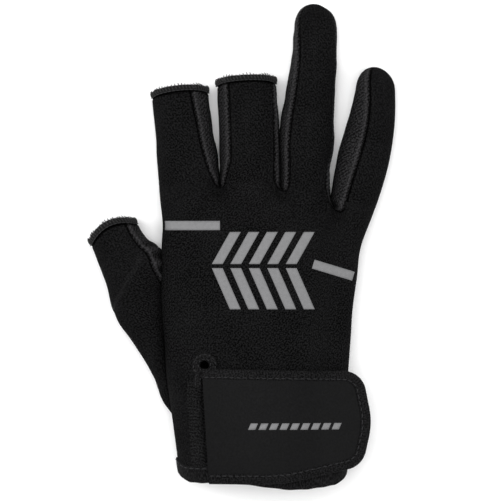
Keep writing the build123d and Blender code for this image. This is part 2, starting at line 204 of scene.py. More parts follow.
def cloth(name, points, paint, thick, inside=None, uv=None, keep=None, round_row=False, painted_light_and_tone=None):
    """Makes a piece of cloth from a grid of points in millimetres, outer face out and closed to a shell.
    inside is a point under the cloth. keep masks the grid's faces. round_row joins the last column to the
    first. The last argument lightens the cloth at a point, or darkens it where it is negative: it carries painted
    shade in stitch lines, hollows and under hems, painted highlights on welts and wrinkles, and a lighter crease."""
    points = np.asarray(points, float)
    rows, cols = points.shape[:2]
    uv = cloth_uv(points) if uv is None else uv
    index = np.arange(rows * cols).reshape(rows, cols)
    if round_row:
        index = np.concatenate([index, index[:, :1]], axis=1)
    quads = np.stack([index[:-1, :-1], index[:-1, 1:], index[1:, 1:], index[1:, :-1]], axis=2)
    quads = quads[keep] if keep is not None else quads.reshape(-1, 4)
    if inside is not None:
        corner = points.reshape(-1, 3)[quads]
        middle = corner.mean(axis=1) - np.asarray(inside, float)
        out = np.cross(corner[:, 2] - corner[:, 0], corner[:, 3] - corner[:, 1])
        if np.einsum("ij,ij->i", out, middle).sum() < 0:
            quads = quads[:, ::-1]
    mesh = bpy.data.meshes.new(name)
    mesh.from_pydata((points.reshape(-1, 3) * MM).tolist(), [], quads.tolist())
    layer = mesh.uv_layers.new(name="cloth")
    layer.data.foreach_set("uv", uv.reshape(-1, 2)[quads.reshape(-1)].reshape(-1).astype(np.float32))
    # Painted shade and painted highlights, with a lighter crease, are stored on the mesh for the material to add
    # to the cloth's tone.
    if painted_light_and_tone is not None:
        values = (np.asarray(painted_light_and_tone, float) + np.zeros((rows, cols))).reshape(-1)
        mesh.attributes.new("painted_light_and_tone", "FLOAT", "POINT").data.foreach_set("value", values.astype(np.float32))
    work = bmesh.new()
    work.from_mesh(mesh)
    bmesh.ops.remove_doubles(work, verts=work.verts, dist=0.00002)
    bmesh.ops.delete(work, geom=[v for v in work.verts if not v.link_faces], context="VERTS")
    for edge in work.edges:
        edge.smooth = not edge.is_boundary
    for face in work.faces:
        face.smooth = True
    work.to_mesh(mesh)
    work.free()
    piece = placed(name, mesh, paint)
    if thick:
        wall = piece.modifiers.new("wall", "SOLIDIFY")
        wall.thickness = thick * MM
    return piece


# Across the hand: y, middle, half width, height of the palm seam, height of the crown
HAND = [
    (-104.0, 3.5, 40.0, 12.6, 31.0),
    (-96.0, 3.25, 41.7, 12.8, 31.8),
    (-85.0, 2.7, 42.6, 12.8, 32.0),
    (-75.0, 2.1, 43.3, 12.8, 31.8),
    (-46.0, 0.55, 45.5, 12.4, 30.6),
    (-30.0, 0.7, 46.5, 12.2, 29.8),
    (-15.0, 0.7, 47.7, 12.0, 29.2),
    (0.0, 1.25, 48.95, 11.6, 28.4),
    (17.0, 2.65, 49.85, 11.2, 26.6),
    (31.0, 5.55, 51.85, 10.4, 24.4),
    (46.0, 7.5, 55.5, 8.6, 21.8),
]
CROWN = 2.25  # power of the hand's cross-section: 2 is an ellipse, more is flatter on top
FINGER_CROWN = 2.05  # the same for a finger
SOLE_POWER = 3.4  # power of every lower half, which is flat underneath
SOLE_Z, FINGER_SOLE_Z = 1.0, 0.9  # height of the hand's and the fingers' undersides


def section(angle, half, seam, up, down, crown):
    """Across and up from the middle: a half superellipse of each power, over the seam and under it."""
    cos, sin = np.cos(angle), np.sin(angle)
    power = np.where(sin >= 0, crown, SOLE_POWER)
    across = half * np.sign(cos) * np.abs(cos) ** (2 / power)
    high = seam + np.where(sin >= 0, up, down) * np.sign(sin) * np.abs(sin) ** (2 / power)
    return across, high


def hand_skin(angle, y, proud=0.0):
    """The hand's skin: angle runs from 0 at the right side over the back to pi at the left side and on under
    the palm. proud is how far a layer stands off it."""
    x0, half, seam, top = np.moveaxis(along(HAND, y), -1, 0)
    across, high = section(angle, half + proud, seam, top - seam + proud, seam - SOLE_Z + proud, CROWN)
    return np.stack([x0 + across, y + 0 * across, high], axis=-1)


def crown_height(x, y):
    """Height of the back of the hand over a point in plan."""
    x0, half, seam, top = np.moveaxis(along(HAND, y), -1, 0)
    c = np.clip(np.abs(x - x0) / half, 0, 1)
    return seam + (top - seam) * (1 - c**CROWN) ** (1 / CROWN)


# Along each finger: length from its base, x, y, turn, half width, height of the side seam, height of the top
FINGERS = {
    "index": [
        (-20, -32.0, 28, -5.4, 15.3, 8.4, 21.4),
        (0, -33.3, 47.8, -5.4, 15.3, 8.2, 20.8),
        (17, -34.75, 64.7, -5.4, 15.0, 8.0, 20.2),
        (22, -35.4, 69.7, -5.4, 14.5, 7.9, 19.9),
        (32, -36.6, 79.6, -5.4, 14.2, 7.8, 19.2),
        (49, -38.2, 95.6, -5.4, 14.1, 7.4, 18.2),
    ],
    "middle": [
        (-20, -2.0, 28.5, -2.6, 15.6, 8.4, 22.0),
        (0, -2.7, 48.4, -2.6, 15.3, 8.2, 21.2),
        (20, -3.2, 68.4, -2.6, 15.1, 8.0, 20.2),
        (32, -3.7, 80.4, -2.6, 15.0, 7.8, 19.4),
        (53.5, -5.0, 101.2, -2.6, 14.9, 7.4, 18.4),
    ],
    "ring": [
        (-20, 23.6, 26, 3, 12.4, 8.4, 21.6),
        (0, 24.7, 46, 3, 12.5, 8.2, 20.8),
        (13, 24.6, 59, 3, 12.45, 8.0, 20.0),
        (20, 24.8, 66, 3, 13.3, 7.8, 19.5),
        (34, 25.5, 80, 3, 13.0, 7.4, 18.4),
        (47, 26.9, 93, 3, 12.0, 7.2, 17.8),
        (66, 28.9, 112, 3, 11.0, 6.8, 16.8),
        (79, 29.5, 125, 3, 10.4, 6.4, 15.8),
        (93.2, 29.3, 138.3, 3, 10.0, 6.2, 15.4),
    ],
    "little": [
        (-20, 42.6, 18.9, 11.6, 10.2, 8.4, 20.8),
        (0, 48.3, 38.3, 11.6, 11.6, 8.0, 19.6),
        (10, 50.76, 48, 11.4, 12.32, 7.8, 18.6),
        (23, 53.8, 61, 11.0, 12.9, 7.4, 17.6),
        (38.5, 57.2, 76, 8.6, 11.9, 7.0, 16.6),
        (53, 59.3, 90, 4.0, 10.4, 6.4, 15.4),
        (59, 59.8, 96, 2.0, 9.8, 6.2, 14.9),
        (69.9, 59.4, 106.7, 2.0, 9.2, 6.0, 14.6),
    ],
    "thumb": [
        (-6, -40.0, -68, 0, 1.2, 7.0, 9.6),
        (0, -42.2, -62, 0, 3.2, 7.0, 10.6),
        (12.9, -46.6, -49.4, -6, 3.8, 7.2, 12.6),
        (25.4, -50.6, -37.5, -9.4, 6.2, 7.6, 14.6),
        (36.4, -54.0, -27, -12.3, 9.2, 8.0, 16.4),
        (45.1, -56.8, -18.8, -18.4, 11.9, 8.2, 17.9),
        (53.3, -58.5, -10.8, -24.7, 13.8, 8.2, 19.1),
        (63.7, -59.7, -0.5, -32, 16.0, 8.2, 20.0),
        (72.0, -61.8, 7.5, -34, 15.9, 8.2, 20.4),
        (78.1, -65.4, 12.4, -30.2, 13.9, 8.0, 20.0),
        (84.9, -68.8, 18.0, -26.7, 12.9, 7.8, 18.9),
        (92.6, -72.0, 25.0, -24.4, 12.7, 7.4, 17.8),
    ],
}
LONG_FINGERS = ("index", "middle", "ring", "little")
TIP = {name: float(rows[-1][0]) for name, rows in FINGERS.items()}
THUMB_FOOT, THUMB_TAPER = -6.0, 34.0  # where the thumb starts, and over what length its underside comes down
# Bow of a cut end, how far its corners drop, and over what length
ARCH = {"index": (1.6, 1.0, 20), "middle": (1.2, 1.3, 20), "thumb": (5.0, 0.0, 24)}
CLOSED = {"ring": 79.0, "little": 58.0}  # where a closed fingertip starts to round off


def finger(name, angle, s, proud=0.0):
    """A finger's skin: angle runs from 0 at its right seam over the back to pi at its left one, and on under
    the palm side to 2 pi. A closed tip rounds off nearly as a quarter ellipse, and a cut end bows outwards,
    with its corners dropped. The thumb's underside rises towards its foot."""
    x0, y0, turn, half, seam, top = np.moveaxis(along(FINGERS[name], s), -1, 0)
    if name in CLOSED:
        t = np.clip((s - CLOSED[name]) / (TIP[name] - CLOSED[name]), 0, 1)
        shrink = np.sqrt(np.clip(1 - t**2.2, 0, 1))
    else:
        shrink = 1.0
    turn = np.radians(turn)
    foot = 0.25 + 0.75 * smooth((s - THUMB_FOOT) / THUMB_TAPER) if name == "thumb" else 1.0
    up, down = (top - seam) * shrink + proud, (seam - FINGER_SOLE_Z) * shrink * foot + proud
    across, high = section(angle, half * shrink + proud, seam, up, down, FINGER_CROWN)
    bow, corner, reach = ARCH.get(name, (0.0, 0.0, 1.0))
    c = np.minimum(np.abs(across / half), 1)
    bow = smooth(1 - (TIP[name] - s) / reach) * (bow * (1 - c**2) - corner * c**8)
    cos, sin = np.cos(turn), np.sin(turn)
    return np.stack([x0 + across * cos + bow * sin, y0 - across * sin + bow * cos, high], axis=-1)


# Where a finger's back panel is sewn to its side strips: length from the base, angle on the left and on the
# right, in degrees. It wraps round the outer side of the index and little fingers.
BACK_EDGES = {
    "index": [(-20, 204, 38), (0, 204, 35), (5, 204, 45), (12, 204, 54), (28, 204, 60), (49, 204, 69)],
    "middle": [
        (-20, 152, 24), (0, 149, 37), (5, 141, 37), (12, 131, 35), (20, 130, 34), (35, 129, 31),
        (53.5, 128, 28),
    ],
    "ring": [
        (-20, 140, 12), (0, 133, 34), (8, 131, 31), (16, 130, 15), (34, 127, 10), (47, 127, 8), (66, 131, 8),
        (79, 141, 8), (93.2, 150, 8),
    ],
    "little": [
        (-20, 106, -24), (0, 107, -24), (10, 104, -24), (23, 99, -24), (38.5, 98, -24), (53, 104, -24),
        (59, 108, -24), (69.9, 112, -24),
    ],
    "thumb": [
        (-6, 204, -20), (45.1, 204, -20), (53.3, 204, 8), (58.0, 204, 34), (63.7, 204, 50), (72, 204, 54),
        (78.1, 204, 53), (92.6, 204, 52),
    ],
}


def back_edge(name, s):
    """The two angles at which a finger's back panel ends, at length s."""
    left, right = np.moveaxis(along(BACK_EDGES[name], s), -1, 0)
    return np.radians(left), np.radians(right)


PALM_LINE = math.radians(34)  # angle below the side seams at which a strip is sewn to the palm side


def palm_edge(name, s):
    """The two angles at which a finger's palm side starts, left and right, going under the finger."""
    left, right = back_edge(name, s)
    left = left if name in ("index", "thumb") else math.pi + PALM_LINE + 0 * s
    right = right + 2 * math.pi if name == "little" else 2 * math.pi - PALM_LINE + 0 * s
    return left, right


# Depth of each crotch's U below the fingers' bases, at the back panel and at the palm
CROTCH_DIP = {"index_middle": (1.6, 1.2), "middle_ring": (2.6, 1.2), "ring_little": (7.2, 2.0)}


def crotch_curve(first, last, dip, a):
    """From one finger's edge to the next one's: straight across, with a half ellipse of depth dip towards the
    wrist. a runs from 0 to 1."""
    mix = 0.5 - 0.5 * np.cos(math.pi * a)
    curve = first + (last - first) * mix[..., None]
    return curve - (dip * np.sin(math.pi * a))[..., None] * np.array([0.0, 1.0, 0.0])


FINGER_COLUMNS = {"index": 52, "middle": 36, "ring": 34, "little": 40, "thumb": 52}
CROTCH_COLUMNS = 12
MORPH = 30.0  # length over which the hand's shape changes into the fingers'
HAND_ROWS = 130


def cuff_line(x):
    """The panels' end at the cuff: straight, with a shallow bow on the little finger's side and both corners
    rounded up."""
    return -100.2 - 3.3 * np.exp(-(((x - 20) / 21) ** 2)) + 4.0 * np.minimum(np.abs(x - 3.3) / 41.5, 1) ** 22


STRAIGHT = 0.12  # share of a straight row in an evened one


def evened(values, reach):
    """A falling or rising row of values with its jumps and stops spread over reach places and its ends kept:
    the mean of each value's neighbours, with a share of the straight row from end to end."""
    before, after = 2 * values[0] - values[reach:0:-1], 2 * values[-1] - values[-2:-reach - 2:-1]
    width = 2 * reach + 1
    mean = np.convolve(np.concatenate([before, values, after]), np.ones(width) / width, "valid")
    return (1 - STRAIGHT) * mean + STRAIGHT * np.linspace(values[0], values[-1], len(values))


def hand_grid(side):
    """The back or the palm of the hand as a grid. Its last row is the fingers' bases and the crotch curves
    between them. Each column runs from there to the cuff, at its own share of the hand's outline, and changes
    smoothly from the finger's shape into the hand's. Also gives each point's distance from the crotch edges,
    and its share of the finger's shape."""
    on_back = side == "back"
    edges = back_edge if on_back else palm_edge
    foot = np.array(0.0)
    base, angle, owner = [], [], []
    for name, following in zip(LONG_FINGERS, (*LONG_FINGERS[1:], None)):
        left, right = (float(e) for e in edges(name, foot))
        turns = np.linspace(left, right, FINGER_COLUMNS[name])
        base.append(finger(name, turns, 0 * turns))
        angle.append(turns)
        owner += [name] * len(turns)
        if following:
            last = finger(following, edges(following, foot)[0], foot)
            a = np.arange(1, CROTCH_COLUMNS) / CROTCH_COLUMNS
            base.append(crotch_curve(base[-1][-1], last, CROTCH_DIP[f"{name}_{following}"][not on_back], a))
            angle.append(a * math.nan)
            owner += [None] * len(a)
    base, angle, owner = np.concatenate(base), np.concatenate(angle), np.array(owner)
    x0, half, _, _ = np.moveaxis(along(HAND, base[:, 1]), -1, 0)
    c = np.clip((base[:, 0] - x0) / half, -1, 1)
    turn = np.arccos(np.sign(c) * np.abs(c) ** ((CROWN if on_back else SOLE_POWER) / 2))
    turn = turn if on_back else 2 * math.pi - turn
    wrap = np.where(on_back & ((angle > math.pi) | (angle < 0)), angle, turn)
    share = np.linspace(0, 1, len(base))
    wrap = (wrap + (edges("index", foot)[0] - wrap[0]) * np.clip(1 - share / 0.4, 0, 1)
            + (edges("little", foot)[1] - wrap[-1]) * np.clip(share / 0.4 - 1.5, 0, 1))
    wrap = evened(wrap, 6 if on_back else 14)
    v = np.linspace(0, 1, HAND_ROWS)[:, None]
    start = cuff_line(base[:, 0])
    y = start + (base[:, 1] - start) * v
    wide = hand_skin(wrap[None, :] + 0 * v, y)
    s = y - base[:, 1]
    near = base[None] + s[..., None] * np.array([0.0, 1.0, 0.0])
    for name in LONG_FINGERS:
        mine = owner == name
        near[:, mine] = finger(name, angle[mine] + 0 * s[:, mine], s[:, mine])
    starts = base[np.isnan(angle)]
    gap = np.array([np.linalg.norm(starts - point, axis=1).min() for point in base])
    weight = smooth(1 - (base[:, 1] - y) / (MORPH - 22 * np.exp(-((gap / 6) ** 2))))
    points = wide * (1 - weight[..., None]) + near * weight[..., None]
    below = np.linalg.norm(points - base[None], axis=2)
    return points, np.sqrt(gap[None] ** 2 + below**2), weight


def outward(points, inside):
    """1 or -1, whichever turns a grid's normals away from a point or line inside."""
    return 1.0 if (normals(points) * (points - np.asarray(inside, float))).sum() > 0 else -1.0


def raised(points, inside, amount):
    """Grid points moved by amount along the normals that point away from inside."""
    amount = np.asarray(amount)[..., None] + np.zeros(points.shape[:2] + (1,))
    return points + normals(points) * outward(points, inside) * amount


HAND_CORE = (3, -20, 12)
back, to_edge, finger_share = hand_grid("back")
back = raised(back, HAND_CORE, seam_edge(to_edge, 0.9, 0.3) + 0.35 * ripple(back, 46) * (1 - finger_share))


def add(tree, kind, inputs, **settings):
    """Adds a shader node with its settings and inputs."""
    made = tree.nodes.new("ShaderNode" + kind)
    for key, value in settings.items():
        setattr(made, key, value)
    return fill(made, inputs)


def math_node(tree, operation, a, b=0.0, c=0.0):
    """The output of a Math node."""
    return add(tree, "Math", {0: a, 1: b, 2: c}, operation=operation).outputs[0]


def effect(name, inputs, outputs):
    """A shader node group with the given named inputs, each with its socket type and value, and outputs."""
    tree = bpy.data.node_groups.new(name, "ShaderNodeTree")
    for label, (kind, value) in inputs.items():
        socket = tree.interface.new_socket(label, in_out="INPUT", socket_type=kind)
        if value is not None:
            socket.default_value = value
    for label in outputs:
        tree.interface.new_socket(label, in_out="OUTPUT", socket_type="NodeSocketFloat")
    return tree, tree.nodes.new("NodeGroupInput"), tree.nodes.new("NodeGroupOutput")


# Knitted face: fine ribs at a slant, broken into stitches along each rib, under an uneven nap.
FLOAT, VECTOR = "NodeSocketFloat", "NodeSocketVector"
knit, given, result = effect(
    "knit face",
    {"Cloth": (VECTOR, None), "Pitch": (FLOAT, 1.0), "Slant": (FLOAT, 0.8), "Nap size": (FLOAT, 0.5),
     "Rib": (FLOAT, 0.9)},
    ("Height", "Tone"),
)
turned = add(knit, "VectorRotate", {"Vector": given.outputs["Cloth"], "Angle": given.outputs["Slant"]},
             rotation_type="Z_AXIS").outputs[0]
bend = add(knit, "TexNoise", {"Vector": turned, "Scale": 0.22, "Detail": 1.0}).outputs["Fac"]
parts = add(knit, "SeparateXYZ", {0: turned}).outputs
across = math_node(knit, "ADD", parts["X"], math_node(knit, "MULTIPLY", bend, 1.6))
rib = math_node(knit, "SINE", math_node(knit, "MULTIPLY",
                math_node(knit, "DIVIDE", across, given.outputs["Pitch"]), 2 * math.pi))
loops = math_node(knit, "SINE", math_node(knit, "MULTIPLY_ADD",
                  math_node(knit, "DIVIDE", parts["Y"], given.outputs["Pitch"]), 2 * math.pi * 0.83,
                  math_node(knit, "MULTIPLY", rib, 1.1)))
nap_scale = math_node(knit, "DIVIDE", 1.0, given.outputs["Nap size"])
nap = add(knit, "TexNoise", {"Vector": given.outputs["Cloth"], "Scale": nap_scale, "Detail": 3.0,
                             "Roughness": 0.65}).outputs["Fac"]
stitch = math_node(knit, "MULTIPLY_ADD", rib, 0.22, math_node(knit, "MULTIPLY", loops, 0.13))
height = math_node(knit, "ADD", math_node(knit, "MULTIPLY_ADD", stitch, given.outputs["Rib"], 0.5),
                   math_node(knit, "MULTIPLY_ADD", nap, 1.6, -0.8))
tone = math_node(knit, "MULTIPLY_ADD", math_node(knit, "SUBTRACT", nap, 0.5), 7.5,
                 math_node(knit, "MULTIPLY_ADD", stitch, given.outputs["Rib"], 0.42))
fill(result, {"Height": height, "Tone": add(knit, "Clamp", {"Value": tone}).outputs[0]})

# Slow unevenness of dye, nap and handling.
patchy, given, result = effect("patchy handling", {"Cloth": (VECTOR, None), "Size": (FLOAT, 20.0)}, ("Tone",))
cloud = add(patchy, "TexNoise", {"Vector": given.outputs["Cloth"], "Detail": 3.0, "Roughness": 0.55,
                                 "Scale": math_node(patchy, "DIVIDE", 1.0, given.outputs["Size"])})
level = add(patchy, "MapRange", {"Value": cloud.outputs["Fac"], "From Min": 0.3, "From Max": 0.7})
fill(result, {"Tone": level.outputs[0]})


PATCH_SIZE = 22.0  # size of the uneven patches in a cloth's tone


def fabric(name, dark, light, pitch, slant, nap, relief, rough=0.9, sheen=0.0, rib=0.9, specular=0.05):
    """A knitted or napped cloth: its two tones follow the knit, the handling and the painted shade and highlights
    stored on the mesh, and the knit lifts its face by relief, in millimetres."""
    paint, tree, shader = new_paint(name)
    place = add(tree, "UVMap", {}, uv_map="cloth").outputs[0]
    face = add(tree, "Group", {"Cloth": place, "Pitch": pitch, "Slant": math.radians(slant), "Nap size": nap,
                               "Rib": rib}, node_tree=knit).outputs
    slow = add(tree, "Group", {"Cloth": place, "Size": PATCH_SIZE}, node_tree=patchy).outputs["Tone"]
    # The mesh's painted shade and painted highlights at seams, hems and folds, and its lighter crease, are added
    # to the tone of the knit and the patches.
    painted_light_and_tone_level = add(tree, "Attribute", {}, attribute_name="painted_light_and_tone").outputs["Fac"]
    mixed = math_node(tree, "ADD", painted_light_and_tone_level, math_node(tree, "MULTIPLY_ADD", slow, 0.25,
                                                   math_node(tree, "MULTIPLY", face["Tone"], 0.85)))
    colour = add(tree, "Mix", {"Factor": mixed, "A": (*dark, 1), "B": (*light, 1)}, data_type="RGBA",
                 clamp_factor=False).outputs["Result"]
    floor_tone = add(tree, "Mix", {"Factor": 1.0, "A": colour, "B": (*dark, 1)}, data_type="RGBA",
                     blend_type="LIGHTEN").outputs["Result"]
    gloss = math_node(tree, "MULTIPLY_ADD", face["Tone"], -0.08, rough)
    bump = add(tree, "Bump", {"Height": face["Height"], "Distance": relief * MM, "Strength": 1.0}).outputs[0]
    fill(shader, {"Base Color": floor_tone, "Roughness": gloss, "Normal": bump, "Sheen Weight": sheen,
                  "Sheen Roughness": 0.45, "Specular IOR Level": specular})
    return paint


def finished(piece, node=None, body=None):
    """Hides the plain solid that a piece stands for and attaches the piece to the body that it rides on."""
    if node:
        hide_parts(node)
    if body:
        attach(piece, body)
    return piece


BLACK = (0.0, 0.0, 0.0)
jersey = fabric("jersey", BLACK, (0.0088, 0.0088, 0.0091), 1.3, 38, 0.82, 0.08, specular=0.02)

PANEL = 1.6  # thickness of the laminate
EYE = (-25.6, -42.4)  # middle of the slit's eye, in plan
EYE_HOLE = 2.3  # its radius
eye_hole = np.hypot(back[..., 0] - EYE[0], back[..., 1] - EYE[1]) < EYE_HOLE
open_faces = eye_hole[:-1, :-1] | eye_hole[1:, :-1] | eye_hole[:-1, 1:] | eye_hole[1:, 1:]
# Painted shade in the stitch line along the crotch edges, with a faint painted highlight on the welt beside it.
back_panel = cloth("back_of_hand", back, jersey, PANEL, inside=HAND_CORE, keep=~open_faces,
                   painted_light_and_tone=seam_shade_and_highlight(to_edge, 0.9, 0.12))
finished(back_panel, "back_panel", "hand")

# ---- Fingers
# Each finger is a back panel, one or two side strips of ribbed stretch knit and a palm side of thin suede.
# The strips are sewn to the back with a welt. The ring and little fingers have a second length from the middle
# joint on.

side_knit = fabric("side_knit", BLACK, (0.0225, 0.022, 0.023), 1.7, 52, 0.8, 0.28, rib=1.7, specular=0.06)
suede = fabric("suede", (0.0012, 0.0012, 0.0013), (0.010, 0.0098, 0.010), 0.9, 90, 0.6, 0.06, rough=0.95,
               sheen=0.03, rib=0.25)


def panel_grid(name, part, s):
    """The grid of one part of a finger at lengths s, and each point's distance from the part's sewn edges."""
    left, right = back_edge(name, s)
    palm_left, palm_right = palm_edge(name, s)
    first, last, count = {
        "back": (right, left, FINGER_COLUMNS[name]),
        "right": (right, palm_right - 2 * math.pi, 18),
        "left": (palm_left, left, 18),
        "palm": (palm_right, palm_left, 30),
    }[part]
    angle = first[:, None] + (last - first)[:, None] * np.linspace(0, 1, count)
    points = finger(name, angle, s[:, None] + 0 * angle)
    reach = length_to(points, axis=1)
    return points, reach, reach[:, -1:] - reach


def core_line(name, s):
    """Points inside a finger at lengths s, at the height of its side seams."""
    return along(FINGERS[name], s)[:, None, [0, 1, 4]]


def under_hem(name, s):
    """1 where a hem's chain presses the cloth in at lengths s, falling to 0 on both sides of it."""
    return np.exp(-(((s[:, None] - TIP[name] + 3.0) / 0.55) ** 2))


# How far the hem's chain presses the cloth in, and how dark the painted shadow line along it is.
HEM_PRESS, HEM_SHADOW = 0.45, 1.3
STRIP_WALL = 1.2  # thickness of the side strips and the palm side
PARTS = {"index": ("back", "right", "palm"), "middle": ("back", "left", "right", "palm"),
         "ring": ("back", "left", "right", "palm"), "little": ("back", "left", "palm")}


def sewn_part(name, part, piece_name, s, points, lift, painted_light_and_tone):
    """A part's grid, lifted by its relief and, if it is cut, pressed in under the hem's chain and darkened there
    by a painted shadow line, as cloth.
    """
    inside = core_line(name, s)
    if name not in CLOSED:
        press = under_hem(name, s)
        # Painted shadow darkens the cloth along the chain's line.
        lift, painted_light_and_tone = lift - HEM_PRESS * press, painted_light_and_tone - HEM_SHADOW * press
    thick = PANEL if part == "back" else STRIP_WALL
    return cloth(piece_name, raised(points, inside, lift), PAINTS[part], thick, inside=inside[len(s) // 2, 0],
                 painted_light_and_tone=painted_light_and_tone)


def finger_part(name, part, piece_name, s):
    """One part of one length of a finger, with its edges rolled in where they are sewn, painted shade in the
    stitch lines and a painted highlight on the welts beside them.
    """
    points, from_first, from_last = panel_grid(name, part, s)
    if part == "back":
        lift, painted_light_and_tone = 0.2 * ripple(points, 33), 0.0
        for edge, distance in (("left", from_last), ("right", from_first)):
            strip = edge in PARTS[name]
            lift = lift + seam_edge(distance, 0.9 if strip else 0.5, 0.3 if strip else 0.2)
            # Painted shade in the stitch line and a faint painted highlight on the welt beside it.
            painted_light_and_tone = painted_light_and_tone + seam_shade_and_highlight(distance, 0.9 if strip else 0.4, 0.12)
    elif part == "palm":
        lift = seam_edge(from_first, 0.5, 0.2) + seam_edge(from_last, 0.5, 0.2)
        # Painted shade in the palm side's stitch lines, with a faint painted highlight on the welts.
        painted_light_and_tone = seam_shade_and_highlight(np.minimum(from_first, from_last), 0.5, 0.2)
    else:
        first, last = (from_first, from_last) if part == "right" else (from_last, from_first)
        lift = seam_edge(first, 0.8, 0.75) + seam_edge(last, 0.5, 0.2) + 0.3 * ripple(points, 14)
        # A side strip: a bright painted highlight on its welt by the back panel, then painted shade further down
        # its side between the fingers.
        painted_light_and_tone = seam_shade_and_highlight(first, 0.8, 0.6) - 0.25 * smooth((first - 3) / 8)
    if name in CLOSED:
        lift = lift * smooth((TIP[name] - s) / 7)[:, None]
    return sewn_part(name, part, piece_name, s, points, lift, painted_light_and_tone)


def spaced(start, stop, step=1.0, tip=None):
    """Lengths from start to stop about step apart, closer together towards a rounded tip."""
    if tip is None:
        return np.linspace(start, stop, max(2, round((stop - start) / step) + 1))
    straight = np.linspace(start, tip, int((tip - start) / step) + 1)
    turn = np.linspace(0, math.pi / 2, 16)[1:]
    return np.concatenate([straight, tip + (stop - tip) * np.sin(turn)])


NODE_ENDS = {"back": "back", "left": "left_fourchette", "right": "right_fourchette", "palm": "palm"}
SLOTS = {"back": "neoprene_jersey", "left": "fourchette_knit", "right": "fourchette_knit", "palm": "palm_amara"}
PAINTS = {"back": jersey, "left": side_knit, "right": side_knit, "palm": suede}
BEND = 15.0  # twice the distance before the middle joint at which a finger's tip length starts
MIDDLE_JOINT = {"ring": 46.2, "little": 38.4}

for name in LONG_FINGERS:
    joint = MIDDLE_JOINT.get(name)
    stop = TIP[name] if joint is None else joint - BEND / 2
    for part in PARTS[name]:
        slot, node = SLOTS[part], NODE_ENDS[part]
        piece = finger_part(name, part, f"{name}_{part}", spaced(0.0, stop))
        finished(piece, f"{name}_{node}")
        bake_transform(piece)
        if joint:
            s = spaced(stop, TIP[name], tip=CLOSED[name])
            piece = finger_part(name, part, f"{name}_tip_{part}", s)
            finished(piece, f"{name}_tip_{node}")
            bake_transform(piece)

# ---- Crotch gussets
# A small piece of the strips' knit joins each finger's side strips to the next one's, in a saddle: the U of
# the back panel's edge above, and the palm's edge below. It creases where the fingers press together.

b = np.linspace(0, 1, 26)[:, None]
a = np.linspace(0, 1, CROTCH_COLUMNS * 3 + 1)[None, :]
crease = np.sin(math.pi * b) * np.sin(math.pi * a) * (0.9 * np.sin(11 * b + 4 * a) + 0.4 * np.sin(23 * a))
# Where painted shade darkens the middle of the saddle between two fingers.
painted_crotch_shade = np.sin(math.pi * a) * np.exp(-(((b - 0.35) / 0.22) ** 2))
for first, last in zip(LONG_FINGERS, LONG_FINGERS[1:]):
    zero = np.array(0.0)
    right, left = back_edge(first, zero)[1], back_edge(last, zero)[0]
    right_under, left_under = palm_edge(first, zero)[1] - 2 * math.pi, palm_edge(last, zero)[0]
    from_first = finger(first, right + (right_under - right) * b, 0 * b)
    from_last = finger(last, left + (left_under - left) * b, 0 * b)
    top_dip, low_dip = CROTCH_DIP[f"{first}_{last}"]
    saddle = crotch_curve(from_first, from_last, top_dip + (low_dip - top_dip) * b, a)
    saddle = saddle + crease[..., None] * np.array([0.0, 0.7, 0.3])
    middle = saddle.mean(axis=(0, 1)) - np.array([0.0, 12.0, 0.0])
    # Painted shade in the stitch line along the back edge, a painted highlight on the welt below it, and painted
    # shade in the saddle's hollow.
    gusset = cloth(f"{first}_{last}_gusset", saddle, side_knit, STRIP_WALL, inside=middle,
                   painted_light_and_tone=seam_shade_and_highlight(13 * b, 0.7, 0.8) - 0.8 * painted_crotch_shade)
    finished(gusset, f"{first}_{last}_crotch", "hand")

# ---- Palm
# A thin suede palm from the fingers to the cuff, sewn to the back along both sides, with a rounded grip
# patch stitched on by two rows of thread.

palm, to_edge, _ = hand_grid("palm")
COLUMN = 0.62  # usual distance between the palm's columns near its sides
column = np.arange(palm.shape[1])
side_seam = np.minimum(column, column[::-1])[None, :] * COLUMN
sole_lift = seam_edge(np.minimum(to_edge, side_seam), 0.6, 0.2) + 0.15 * ripple(palm, 30) * (palm[..., 2] > 2)
# Painted shade in the stitch lines along the palm's sides and crotches, with a faint painted highlight on the
# welts.
palm_piece = cloth("palm_of_hand", raised(palm, HAND_CORE, sole_lift), suede, STRIP_WALL, inside=HAND_CORE,
                   painted_light_and_tone=seam_shade_and_highlight(np.minimum(to_edge, side_seam), 0.5, 0.25))
finished(palm_piece, "palm_panel", "hand")


def rounded(corners, step=1.5, closed=True):
    """A line through corners given as x, y, radius, with each corner turned to an arc, in points about step
    apart."""
    corners = np.array(corners, float)
    line = []
    for k, (*here, radius) in enumerate(corners):
        here = np.array(here)
        if not closed and k in (0, len(corners) - 1):
            line.append(here)
            continue
        before = corners[k - 1][:2] - here
        after = corners[(k + 1) % len(corners)][:2] - here
        before, after = before / np.linalg.norm(before), after / np.linalg.norm(after)
        half = math.acos(float(np.clip(before @ after, -1, 1))) / 2
        start = here + before * radius / math.tan(half)
        centre = here + (before + after) / np.linalg.norm(before + after) * radius / math.sin(half)
        spoke = start - centre
        sweep = (math.pi - 2 * half) * np.sign(before[1] * after[0] - before[0] * after[1])
        for t in np.linspace(0, 1, max(3, int(abs(sweep) * radius / step) + 2)):
            cos, sin = math.cos(sweep * t), math.sin(sweep * t)
            line.append(centre + np.array([spoke[0] * cos - spoke[1] * sin, spoke[0] * sin + spoke[1] * cos]))
    if closed:
        line.append(line[0])
    line = np.array(line)
    reach = length_to(line)
    places = np.linspace(0, reach[-1], int(reach[-1] / step) + 1)
    if closed:
        places = places[:-1]
    return np.stack([np.interp(places, reach, line[:, 0]), np.interp(places, reach, line[:, 1])], axis=1)


def laid(plan, height, rise=0.0):
    """Plan points lifted to height(x, y) and a rise above it."""
    z = height(plan[..., 0], plan[..., 1]) + rise
    return np.concatenate([plan, z[..., None]], axis=-1)


